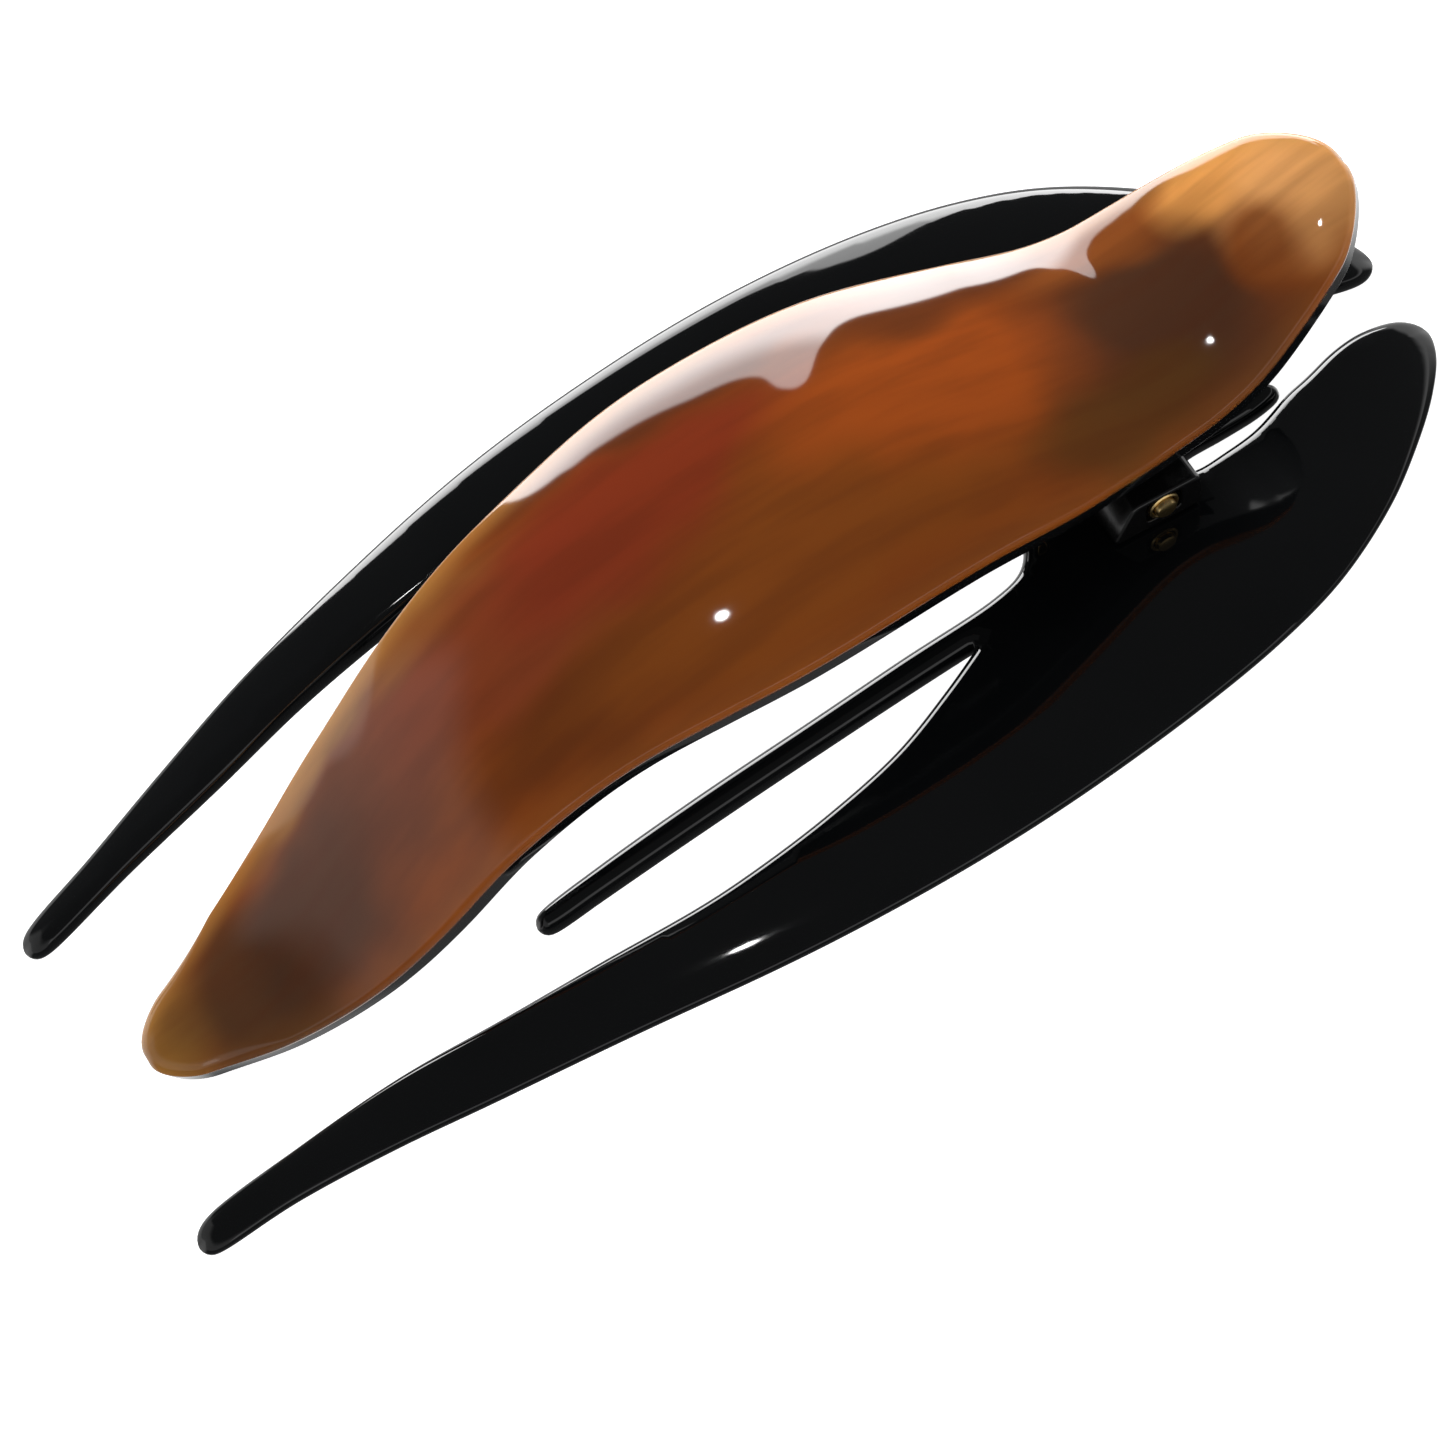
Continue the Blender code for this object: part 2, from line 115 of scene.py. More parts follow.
def place(tree):
    # the piece's own place in millimetres
    coords = addNode(tree, "ShaderNodeTexCoord")
    scaled = addNode(tree, "ShaderNodeVectorMath", {0: coords.outputs["Object"], "Scale": 1000.0},
                     operation="SCALE")
    return scaled.outputs[0]


def mixColor(tree, factor, first, second):
    return addNode(tree, "ShaderNodeMix", {0: factor, 6: first, 7: second},
                   data_type="RGBA").outputs[2]


def sums(tree, kind, *values):
    # one arithmetic step on numbers or sockets
    return addNode(tree, "ShaderNodeMath", dict(enumerate(values)), operation=kind).outputs[0]


def mapValue(tree, value, low, high, toLow, toHigh, smooth=True):
    mapped = addNode(tree, "ShaderNodeMapRange",
                     {0: value, 1: low, 2: high, 3: toLow, 4: toHigh},
                     interpolation_type="SMOOTHSTEP" if smooth else "LINEAR")
    return mapped.outputs[0]


def polish(tree, shader, at, waviness, spacing):
    # hand polishing leaves slow waves, which bend the reflections a little
    wave = addNode(tree, "ShaderNodeTexNoise", {"Vector": at, "Scale": 1 / spacing, "Detail": 1.0})
    bump = addNode(tree, "ShaderNodeBump", {"Height": wave.outputs[0], "Strength": 1.0,
                                            "Distance": waviness * mm})
    tree.links.new(bump.outputs[0], shader.inputs["Normal"])


def roughen(tree, shader, pattern, finish):
    # colours and raises the surface by one pattern
    tree.links.new(mixColor(tree, pattern, *map(linear, finish["colors"])),
                   shader.inputs["Base Color"])
    strength, height = finish["bump"]
    bump = addNode(tree, "ShaderNodeBump", {"Height": pattern, "Strength": strength,
                                            "Distance": height * mm})
    tree.links.new(bump.outputs[0], shader.inputs["Normal"])


tortoise = {
    "body": "#783a0f",
    # painted highlight: a lighter colour along the rounded rim, strongest on the far side where the
    # rim catches the light
    "rim": "#b5803e",
    "rimHighlightWidth": 3.0,  # mm in from the rim over which the painted rim highlight fades out
    "rimHighlightShare": 0.55,
    "rimHighlightSide": (-1.0, 4.0, 0.12),  # mm across the leaf where the painted rim highlight comes in, and its share before that, so the far side is painted lighter
    "warp": 3.4,  # mm that the cloud borders wander
    "warpSpacing": 17.0,  # mm
    "cloudEdge": (0.45, 1.25),  # radii from the middle where a cloud starts to fade and is gone
    "streak": "#4a2008",
    "streakSpacing": 2.2,  # mm across the leaf
    "streakLength": 9.0,  # times as long along it
    "streakShare": 0.28,
    "gloss": (0.05, 1.48),  # roughness and IOR
    "depth": (0.12, 1.2),  # share of light that enters, and how many mm it goes
    "waves": (0.006, 9.0),  # mm high and mm apart
    # clouds in the sheet, tip to handle: middle and radii in mm, colour, strength
    "clouds": [
        ((-62.5, 0.0), (8.0, 9.0), "#8a5f28", 0.9),
        ((-50.5, -1.0), (9.0, 10.0), "#452d1b", 0.9),
        ((-41.0, -1.0), (9.0, 10.0), "#3e2618", 0.85),
        ((-32.0, 2.0), (7.0, 9.0), "#5f3019", 0.75),
        ((-30.0, 9.5), (16.0, 3.0), "#8f642c", 0.7),
        ((-19.0, 3.5), (14.0, 8.0), "#743319", 0.85),
        ((-14.0, -8.0), (14.0, 6.0), "#5c2b0a", 0.8),
        ((-2.0, 5.5), (17.0, 6.5), "#782813", 0.8),
        ((3.0, 13.0), (20.0, 2.5), "#4e2612", 0.7),
        ((4.0, -8.0), (24.0, 6.0), "#7c400f", 0.8),
        ((23.0, 1.0), (15.0, 8.0), "#994613", 0.9),
        ((29.0, 9.5), (13.0, 3.5), "#5a2c10", 0.8),
        ((43.0, -3.0), (12.0, 11.5), "#42291a", 0.9),
        ((36.0, -9.5), (9.0, 4.5), "#553410", 0.75),
        ((44.0, 6.5), (9.0, 3.5), "#8a4a1c", 0.75),
        ((60.0, 1.0), (8.5, 9.0), "#e0a060", 0.95),
        ((54.0, 5.5), (7.0, 4.0), "#e09a50", 0.85),
        ((54.5, -3.0), (4.5, 5.0), "#7c3d10", 0.85),
    ],
}


def tortoiseAcetate():
    # cellulose acetate cut from a cloudy slab and polished: depth under a hard wet gloss
    roughness, ior = tortoise["gloss"]
    made, tree, shader = newMaterial("polished tortoise acetate", Roughness=roughness, IOR=ior)
    at = place(tree)
    wander = addNode(tree, "ShaderNodeTexNoise",
                     {"Vector": at, "Scale": 1 / tortoise["warpSpacing"], "Detail": 2.0})
    centred = addNode(tree, "ShaderNodeVectorMath", {0: wander.outputs[1], 1: (0.5, 0.5, 0.5)},
                      operation="SUBTRACT")
    shifted = addNode(tree, "ShaderNodeVectorMath",
                      {0: centred.outputs[0], 1: (tortoise["warp"] * 4,) * 3, 2: at},
                      operation="MULTIPLY_ADD").outputs[0]
    color = linear(tortoise["body"])
    for middle, radii, hexColor, strength in tortoise["clouds"]:
        near = addNode(tree, "ShaderNodeVectorMath",
                       {0: shifted, 1: (1 / radii[0], 1 / radii[1], 0.0),
                        2: (-middle[0] / radii[0], -middle[1] / radii[1], 0.0)},
                       operation="MULTIPLY_ADD")
        away = addNode(tree, "ShaderNodeVectorMath", {0: near.outputs[0]}, operation="LENGTH")
        share = mapValue(tree, away.outputs["Value"], *tortoise["cloudEdge"], strength, 0.0)
        color = mixColor(tree, share, color, linear(hexColor))
    drawn = addNode(tree, "ShaderNodeMapping",
                    {"Vector": at, "Scale": (1 / tortoise["streakLength"], 1.0, 0.3),
                     "Rotation": (0.0, 0.0, 0.12)})
    streak = addNode(tree, "ShaderNodeTexNoise",
                     {"Vector": drawn.outputs[0], "Scale": 1 / tortoise["streakSpacing"],
                      "Detail": 3.0})
    share = mapValue(tree, streak.outputs[0], 0.35, 0.7, 0.0, tortoise["streakShare"])
    color = mixColor(tree, share, color, linear(tortoise["streak"]))
    # painted highlight: the rim colour mixed in near the rim, fully on the far side and faintly on
    # the near side
    depth = addNode(tree, "ShaderNodeAttribute", attribute_name="rimDepth")
    share = mapValue(tree, depth.outputs["Fac"], 0.0, tortoise["rimHighlightWidth"],
                     tortoise["rimHighlightShare"], 0.0)
    parts = addNode(tree, "ShaderNodeSeparateXYZ", {0: at})
    farRimHighlight = mapValue(tree, parts.outputs[1], *tortoise["rimHighlightSide"], 1.0)
    share = sums(tree, "MULTIPLY", share, farRimHighlight)
    color = mixColor(tree, share, color, linear(tortoise["rim"]))
    tree.links.new(color, shader.inputs["Base Color"])
    entering, reach = tortoise["depth"]
    shader.inputs["Subsurface Weight"].default_value = entering
    shader.inputs["Subsurface Radius"].default_value = (1.0, 0.45, 0.15)
    shader.inputs["Subsurface Scale"].default_value = reach * mm
    polish(tree, shader, at, *tortoise["waves"])
    return made


blackSheet = {
    "colors": ("#040506", "#090a0b"),
    "hazeSpacing": 11.0,  # mm
    "gloss": (0.05, 1.43),  # roughness and IOR
    "waves": (0.010, 14.0),  # mm high and mm apart
}


def blackAcetate():
    # black acetate, tumbled and buffed: a deep black mirror
    roughness, ior = blackSheet["gloss"]
    made, tree, shader = newMaterial("buffed black acetate", Roughness=roughness, IOR=ior)
    at = place(tree)
    haze = addNode(tree, "ShaderNodeTexNoise", {"Vector": at, "Detail": 2.0,
                                                "Scale": 1 / blackSheet["hazeSpacing"]})
    color = mixColor(tree, haze.outputs[0], *map(linear, blackSheet["colors"]))
    tree.links.new(color, shader.inputs["Base Color"])
    polish(tree, shader, at, *blackSheet["waves"])
    return made


nylon = {
    "colors": ("#050505", "#0c0c0d"),
    "grain": 0.35,  # mm
    "gloss": (0.16, 1.53),  # roughness and IOR
    "bump": (0.3, 0.01),  # strength and mm
}


def mouldedNylon():
    # injection-moulded nylon: black, a little softer than the acetate
    roughness, ior = nylon["gloss"]
    made, tree, shader = newMaterial("moulded black nylon", Roughness=roughness, IOR=ior)
    grain = addNode(tree, "ShaderNodeTexNoise", {"Vector": place(tree), "Detail": 3.0,
                                                 "Scale": 1 / nylon["grain"]})
    roughen(tree, shader, grain.outputs[0], nylon)
    return made


brass = {
    "colors": ("#e0b96e", "#f8e0a8"),
    "lines": 0.12,  # mm apart
    "roughness": 0.3,
    "bump": (0.25, 0.01),  # strength and mm
}


def goldBrass():
    # drawn brass with a gold wash: warm metal with fine lines along the draw
    made, tree, shader = newMaterial("drawn gilt brass", Metallic=1.0,
                                     Roughness=brass["roughness"])
    drawn = addNode(tree, "ShaderNodeMapping", {"Vector": place(tree), "Scale": (1.0, 0.08, 1.0)})
    lines = addNode(tree, "ShaderNodeTexNoise", {"Vector": drawn.outputs[0], "Detail": 2.0,
                                                 "Scale": 1 / brass["lines"]})
    roughen(tree, shader, lines.outputs[0], brass)
    return made


acetateTortoise, acetateBlack = tortoiseAcetate(), blackAcetate()
nylonBlack, brassGold = mouldedNylon(), goldBrass()
print("materials made")


def smoothRun(points, step):
    # centripetal Catmull-Rom through the points, a vertex about every step
    p = np.array(points, float)
    p = np.vstack([2 * p[0] - p[1], p, 2 * p[-1] - p[-2]])
    runs = []
    for a, b, c, d in zip(p[:-3], p[1:-2], p[2:-1], p[3:]):
        gaps = [max(float(np.linalg.norm(v - u)), 1e-6) ** 0.5 for u, v in ((a, b), (b, c), (c, d))]
        t0, t1, t2, t3 = np.cumsum([0.0] + gaps)
        count = max(5, round(float(np.linalg.norm(c - b)) / step))
        t = np.linspace(t1, t2, count, endpoint=False)[:, None]
        ab = ((t1 - t) * a + (t - t0) * b) / (t1 - t0)
        bc = ((t2 - t) * b + (t - t1) * c) / (t2 - t1)
        cd = ((t3 - t) * c + (t - t2) * d) / (t3 - t2)
        left = ((t2 - t) * ab + (t - t0) * bc) / (t2 - t0)
        right = ((t3 - t) * bc + (t - t1) * cd) / (t3 - t1)
        runs.append(((t2 - t) * left + (t - t1) * right) / (t2 - t1))
    return np.vstack(runs + [p[-2:-1]])


def along(knots, x, slope=False):
    # Hermite curve through (x, value) knots, or its slope
    kx, kv = np.array(knots, float).T
    lean = np.gradient(kv, kx)
    i = np.clip(np.searchsorted(kx, x) - 1, 0, len(kx) - 2)
    h = kx[i + 1] - kx[i]
    t = (x - kx[i]) / h
    if slope:
        return ((6 * t * t - 6 * t) * (kv[i] - kv[i + 1]) / h
                + (3 * t * t - 4 * t + 1) * lean[i] + (3 * t * t - 2 * t) * lean[i + 1])
    return ((1 + 2 * t) * (1 - t) ** 2 * kv[i] + t * (1 - t) ** 2 * h * lean[i]
            + t * t * (3 - 2 * t) * kv[i + 1] + t * t * (t - 1) * h * lean[i + 1])


def nearest(points, a, b):
    # distance from each point to the nearest of the segments a to b, and that nearest spot
    found, spots = [], []
    run = b - a
    for some in np.array_split(points, max(1, len(points) // 1500)):
        t = np.einsum("pij,ij->pi", some[:, None] - a[None], run) / (run ** 2).sum(1)
        spot = a + np.clip(t, 0, 1)[..., None] * run
        gap = np.linalg.norm(some[:, None] - spot, axis=2)
        best = gap.argmin(1)
        found.append(gap[np.arange(len(some)), best])
        spots.append(spot[np.arange(len(some)), best])
    return np.concatenate(found), np.vstack(spots)


def makePiece(name, points, faces, material, normals=None, sharp=40):
    mesh = bpy.data.meshes.new(name)
    mesh.from_pydata((np.asarray(points) * mm).tolist(), [], faces)
    mesh.materials.append(material)
    mesh.shade_smooth()
    if normals is None:
        mesh.set_sharp_from_angle(angle=math.radians(sharp))
    else:
        mesh.normals_split_custom_set_from_vertices(normals.tolist())
    piece = bpy.data.objects.new(name, mesh)
    bpy.context.scene.collection.objects.link(piece)
    return piece


def gridFaces(rows, columns, wrap=False):
    # quads of a grid of points, joined round its second direction if it wraps
    index = np.arange(rows * columns).reshape(rows, columns)
    ahead = np.roll(index, -1, axis=1)
    if not wrap:
        index, ahead = index[:, :-1], ahead[:, :-1]
    return np.stack([index[:-1], index[1:], ahead[1:], ahead[:-1]], axis=-1).reshape(-1, 4)


fork = {
    "halfLength": 66.5,
    "archHeight": 11.2,
    "archStart": 0.5,
    "powerProngs": 2.45,
    "powerHorns": 3.0,
    "halfThickness": 1.5,
    # depth of the rounding in from the outline, and its power
    "outerEdge": (7.5, 2.0),
    "innerEdge": (1.5, 2.2),
    "lowerEdge": (1.6, 2.2),
    "tips": ((66.4, 4.2), (-66.5, 16.7), (-28.1, 13.0)),
    "outlineStep": 0.4,
    "fillStep": 1.0,
    "edgeRings": (0.03, 0.10, 0.22, 0.40, 0.64, 0.94),  # depths in mm
    # half of the outline from the tongue round the horn and the blade to the foot of the tine
    "bladeSide": (
        (49.3, 0.0), (49.5, 1.8), (50.2, 3.6), (51.3, 4.3), (51.3, 5.2),
        (50.0, 5.8), (48.0, 6.3), (44.6, 6.7), (40.2, 7.1), (39.2, 7.8), (40.2, 8.6),
        (44.0, 8.3), (47.0, 7.7), (49.2, 6.8), (51.3, 5.8), (53.9, 4.9), (57.6, 3.4),
        (61.0, 2.6), (64.9, 2.8), (66.4, 4.2), (65.8, 6.7), (63.0, 10.6), (58.4, 15.2),
        (53.0, 19.6), (45.4, 24.0), (37.9, 26.6), (29.0, 28.4), (18.0, 29.6), (7.9, 29.9),
        (-3.5, 29.4), (-12.8, 28.4), (-25.5, 26.2), (-38.4, 23.7), (-47.7, 21.5),
        (-57.4, 19.4), (-64.7, 18.3), (-66.0, 17.8), (-66.5, 16.7), (-66.0, 15.6),
        (-64.7, 15.1), (-54.5, 15.8), (-44.2, 16.7), (-34.6, 18.1), (-24.9, 19.1),
        (-15.5, 19.9), (-9.5, 19.8), (-2.4, 19.1), (5.3, 17.6), (11.6, 15.2), (16.2, 13.1),
    ),
    # and on round the tine to the middle of the bridge
    "tineSide": (
        (16.2, 13.1), (8.2, 13.3), (-1.9, 13.6), (-12.0, 13.9), (-22.0, 14.1), (-26.9, 14.1),
        (-27.8, 13.8), (-28.1, 13.0), (-27.8, 12.2), (-26.9, 11.9), (-20.7, 11.5),
        (-10.4, 11.1), (0.0, 10.8), (9.9, 10.4), (19.6, 10.0), (22.6, 9.2), (24.2, 7.4),
        (24.6, 5.0), (24.6, 0.0),
    ),
}


def arch(x, slope=False):
    # z = start + height (1 - |x / half length| ^ power)
    s = np.minimum(np.abs(x) / fork["halfLength"], 1.0)
    power = np.where(np.asarray(x) < 0, fork["powerProngs"], fork["powerHorns"])
    if slope:
        return -fork["archHeight"] * power * s ** (power - 1) * np.sign(x) / fork["halfLength"]
    return fork["archStart"] + fork["archHeight"] * (1 - s ** power)


def evenly(loop, step):
    # the closed loop with even spacing and its kinks eased
    closed = np.vstack([loop, loop[:1]])
    run = np.cumsum(np.linalg.norm(np.diff(closed, axis=0, prepend=closed[:1]), axis=1))
    at = np.linspace(0, run[-1], round(run[-1] / step), endpoint=False)
    even = np.stack([np.interp(at, run, closed[:, axis]) for axis in (0, 1)], axis=1)
    for _ in range(3):
        even = 0.25 * np.roll(even, 1, axis=0) + 0.5 * even + 0.25 * np.roll(even, -1, axis=0)
    return even


def edgeFields(points, loop, inward):
    # for each stretch of outline between two tips: depth in from it, the way in, and if it is outer
    ahead = np.roll(loop, -1, axis=0)
    tips = [np.linalg.norm(loop - (x, side * y), axis=1).argmin()
            for x, y in fork["tips"] for side in (1, -1)]
    cuts = sorted(tips)
    fields = []
    for first, last in zip(cuts, cuts[1:] + [cuts[0] + len(loop)]):
        stretch = np.arange(first, last) % len(loop)
        depth, spot = nearest(points, loop[stretch], ahead[stretch])
        way = (points - spot) / np.maximum(depth, 1e-9)[:, None]
        onRim = np.flatnonzero(depth[:len(loop)] < 1e-6)
        way[onRim] = inward[onRim]
        outer = abs(loop[stretch, 1]).max() > 25
        fields.append((depth, way, outer))
    return fields


def swell(fields, half, outerEdge, innerEdge):
    # half the thickness times (1 - (1 - d / a) ^ n) ^ (1 / n) for every stretch, and its slope
    value, slope = 1.0, 0.0
    for depth, way, outer in fields:
        reach, power = outerEdge if outer else innerEdge
        left = np.clip(1 - np.maximum(depth, 1e-3) / reach, 0, 1)
        share = (1 - left ** power) ** (1 / power)
        rate = left ** (power - 1) * (1 - left ** power) ** (1 / power - 1) / reach
        slope = slope * share[:, None] + (value * rate)[:, None] * way
        value = value * share
    return half * value, half * slope


def makeFork():
    # flat outline filled with triangles, laid over the arch and swelled to its thickness
    half = np.vstack([smoothRun(fork["bladeSide"], fork["outlineStep"])[:-1],
                      smoothRun(fork["tineSide"], fork["outlineStep"])])
    loop = evenly(np.vstack([half, (half * (1, -1))[-2:0:-1]]), fork["outlineStep"])
    ahead = np.roll(loop, -1, axis=0)
    tangent = ahead - np.roll(loop, 1, axis=0)
    tangent /= np.linalg.norm(tangent, axis=1)[:, None]
    facing = np.sign((loop[:, 0] * ahead[:, 1] - ahead[:, 0] * loop[:, 1]).sum())
    inward = np.stack([-tangent[:, 1], tangent[:, 0]], axis=1) * facing
    depths = fork["edgeRings"]
    rings = np.vstack([loop + inward * d for d in depths])
    want = np.repeat(depths, len(loop))
    grid = np.stack(np.meshgrid(np.arange(-65, 66, fork["fillStep"]),
                                np.arange(-29, 29.1, fork["fillStep"])), axis=-1).reshape(-1, 2)
    grid = grid[insideLoop(grid, loop)]
    flat = np.vstack([loop,
                      rings[(nearest(rings, loop, ahead)[0] > 0.97 * want)
                            & insideLoop(rings, loop)],
                      grid[nearest(grid, loop, ahead)[0] > depths[-1] + 0.45]])
    count, rim = len(flat), len(loop)
    edges = [(i, (i + 1) % rim) for i in range(rim)]
    found = delaunay_2d_cdt([Vector(p) for p in flat], edges, [], 0, 1e-9)
    triangles = np.array([tuple(f) for f in found[2]])
    corners = flat[triangles]
    area = np.cross(corners[:, 1] - corners[:, 0], corners[:, 2] - corners[:, 0])
    keep = insideLoop(corners.mean(axis=1), loop) & (np.abs(area) > 1e-9)
    triangles = np.where((area > 0)[:, None], triangles, triangles[:, ::-1])[keep]

    fields = edgeFields(flat, loop, inward)
    middle, lean = arch(flat[:, 0]), arch(flat[:, 0], slope=True)
    half = fork["halfThickness"]
    up, upSlope = swell(fields, half, fork["outerEdge"], fork["innerEdge"])
    down, downSlope = swell(fields, half, fork["lowerEdge"], fork["lowerEdge"])
    up[:rim] = 0.0
    top = np.column_stack([flat, middle + up])
    bottom = np.column_stack([flat, np.maximum(middle - down, 0.0)])[rim:]
    topNormal = np.column_stack([-upSlope[:, 0] - lean, -upSlope[:, 1], np.ones(count)])
    lowNormal = np.column_stack([lean - downSlope[:, 0], -downSlope[:, 1], -np.ones(count)])
    lowNormal[middle < down] = (0, 0, -1)
    normals = np.vstack([topNormal, lowNormal[rim:]])
    normals /= np.linalg.norm(normals, axis=1)[:, None]
    below = np.concatenate([np.arange(rim), np.arange(count, 2 * count - rim)])
    faces = triangles.tolist() + below[triangles[:, ::-1]].tolist()
    return makePiece("forkPlate", np.vstack([top, bottom]), faces, acetateBlack, normals)


def insideLoop(points, loop):
    # inside when an odd number of the loop's edges lies straight to the right
    ahead = np.roll(loop, -1, axis=0)
    x, y = points[:, 0, None], points[:, 1, None]
    crosses = (loop[:, 1] > y) != (ahead[:, 1] > y)
    rise = np.where(ahead[:, 1] == loop[:, 1], 1.0, ahead[:, 1] - loop[:, 1])
    at = loop[:, 0] + (y - loop[:, 1]) * (ahead[:, 0] - loop[:, 0]) / rise
    return (crosses & (x < at)).sum(axis=1) % 2 == 1


forkPlate = makeFork()
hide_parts("fork_plate")
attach(forkPlate, "fork")
print("fork made")


leaf = {
    "ends": (-61.7, 63.5),
    "nose": (4.2, 5.5),
    "crown": 0.2,
    "thickness": 2.45,  # of both layers above the rim
    "linerShare": 1.15,  # how much of that the liner takes
    "linerThickness": 1.2,  # below the rim
    "bond": 0.03,  # half the glue line between cover and liner
    "coverEdge": (0.55, 2.0, 0.0),  # depth of the rounding, its power, and the share at the rim
    "tipEdge": (2.2, -50.0, -58.0),  # how much deeper it gets at the tip, from one x to another
    "linerEdge": (0.35, 2.2, 0.85),
    "strips": 72,
    "widths": (
        (-63.0, 2.5), (-58.0, 3.9), (-50.0, 6.7), (-38.0, 9.9), (-26.0, 11.4), (-14.0, 12.9),
        (2.0, 15.0), (10.0, 15.0), (26.0, 13.6), (38.0, 11.4), (50.0, 9.8), (57.0, 7.6),
        (63.5, 4.6),
    ),
    "heights": (
        (-63.0, 1.6), (-58.0, 2.2), (-50.0, 3.9), (-42.0, 7.8), (-34.0, 13.6), (-26.0, 19.9),
        (-18.0, 24.2), (-6.0, 26.8), (6.0, 27.3), (18.0, 26.1), (30.0, 21.9), (38.0, 19.4),
        (42.0, 19.0), (46.0, 19.5), (54.0, 22.2), (63.5, 25.6),
    ),
}


def leafGrid():
    # points and normals of the sheet between cover and liner: half width times v across, and the
    # rim's height plus crown times half width times (1 - v squared) upwards
    low, high = leaf["ends"]
    tip, heel = leaf["nose"]
    turn = np.linspace(0, math.pi / 2, 19)
    x = np.concatenate([low + tip * (1 - np.cos(turn)),
                        np.linspace(low + tip, high - heel, 210)[1:-1],
                        high - heel * (1 - np.cos(turn[::-1]))])
    v = np.sin(np.linspace(-math.pi / 2, math.pi / 2, leaf["strips"] + 1))
    x, v = np.meshgrid(x, v, indexing="ij")
    full = along(leaf["widths"], x)
    atTip = np.clip((low + tip - x) / tip, 0, 1)
    atHeel = np.clip((x - high + heel) / heel, 0, 1)
    half = full * np.sqrt(1 - atTip ** 2) * np.sqrt(1 - atHeel ** 2)
    points = np.stack([x, half * v, along(leaf["heights"], x)
                       + leaf["crown"] * half * (1 - v * v)], axis=-1)
    lean = (along(leaf["heights"], x, slope=True)
            + leaf["crown"] * along(leaf["widths"], x, slope=True) * (1 + v * v))
    normal = np.stack([-lean, 2 * leaf["crown"] * v, np.ones_like(v)], axis=-1)
    normal /= np.linalg.norm(normal, axis=-1)[..., None]
    down = normal * (1, 0, 1)  # the liner drops straight below the rim, so its edge shows
    down /= np.linalg.norm(down, axis=-1)[..., None]
    rim = np.vstack([points[:, 0], points[::-1, -1]])
    keep = np.linalg.norm(np.roll(rim, -1, axis=0) - rim, axis=1) > 1e-6
    rim = rim[keep]
    depth = nearest(points.reshape(-1, 3), rim, np.roll(rim, -1, axis=0))[0].reshape(v.shape)
    depth[:, [0, -1]] = 0.0
    depth[[0, -1]] = 0.0
    return points, normal, down, depth


def rounded(depth, edge, more=0.0):
    # share of the full thickness at each depth in from the rim, as a superellipse with the given
    # reach and power, starting from its share at the rim
    reach, power, share = edge
    reach = reach + more
    full = (1 - np.clip(1 - depth / reach, 0, 1) ** power) ** (1 / power)
    return share + (1 - share) * full


def tidyMesh(piece, sharp):
    # merges what coincides, turns every face outwards and marks the sharp edges
    shape = bmesh.new()
    shape.from_mesh(piece.data)
    bmesh.ops.remove_doubles(shape, verts=shape.verts, dist=1e-7)
    bmesh.ops.dissolve_degenerate(shape, edges=shape.edges, dist=1e-8)
    bmesh.ops.recalc_face_normals(shape, faces=shape.faces)
    shape.to_mesh(piece.data)
    shape.free()
    piece.data.shade_smooth()
    piece.data.set_sharp_from_angle(angle=math.radians(sharp))


def shellOf(name, upper, lower, depth, material):
    # two grids and the wall between their rims, merged into one closed shell
    rows, columns = depth.shape
    quads = gridFaces(rows, columns)
    index = np.arange(rows * columns).reshape(rows, columns)
    ring = np.concatenate([index[:-1, 0], index[-1, :-1], index[:0:-1, -1], index[0, :0:-1]])
    ahead, total = np.roll(ring, -1), rows * columns
    wall = np.stack([ring, ring + total, ahead + total, ahead], axis=-1)
    faces = np.vstack([quads, quads[:, ::-1] + total, wall])
    piece = makePiece(name, np.vstack([upper.reshape(-1, 3), lower.reshape(-1, 3)]),
                      faces.tolist(), material)
    mark = piece.data.attributes.new("rimDepth", "FLOAT", "POINT")
    mark.data.foreach_set("value", np.tile(depth.ravel(), 2).astype(np.float32))
    tidyMesh(piece, 50)
    return piece


def makeLeaf():
    points, normal, down, depth = leafGrid()
    bond, lift = leaf["bond"], leaf["linerShare"]
    deeper, start, end = leaf["tipEdge"]
    more = deeper * np.clip((start - points[..., 0]) / (start - end), 0, 1)
    over = (leaf["thickness"] - lift) * rounded(depth, leaf["coverEdge"], more)
    under = leaf["linerThickness"] * rounded(depth, leaf["linerEdge"])
    cover = shellOf("leafCover", points + normal * (lift + bond + over)[..., None],
                    points + normal * (lift + bond), depth, acetateTortoise)
    liner = shellOf("leafLiner", points + normal * (lift - bond),
                    points - down * (bond + under)[..., None], depth, acetateBlack)
    for piece, node, slot in ((cover, "leaf_cover", "tortoise_acetate"),
                              (liner, "leaf_liner", "black_acetate")):
        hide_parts(node)
        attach(piece, "upper_jaw")


makeLeaf()
print("leaf made")


hinge = {
    "x": 35.8,
    "z": 14.2,
    "blockX": 35.2,
    "blockSize": (8.8, 4.0, 4.2),
    "blockRake": 2.1,  # how far the front face leans back from its foot to its top
    "blockInner": 8.3,
    "blockFillet": 0.32,
    "blockCorners": (1.3, 0.45, 0.45, 0.45),  # radii: top rear, top front, foot front, foot rear
    "pocket": (1.75, 1.35, 0.7),  # half length, half height and depth
    "pocketLip": 0.12,
    "pocketCorner": 0.5,
    "lift": 0.3,
    "saddleBottom": 18.0,
}


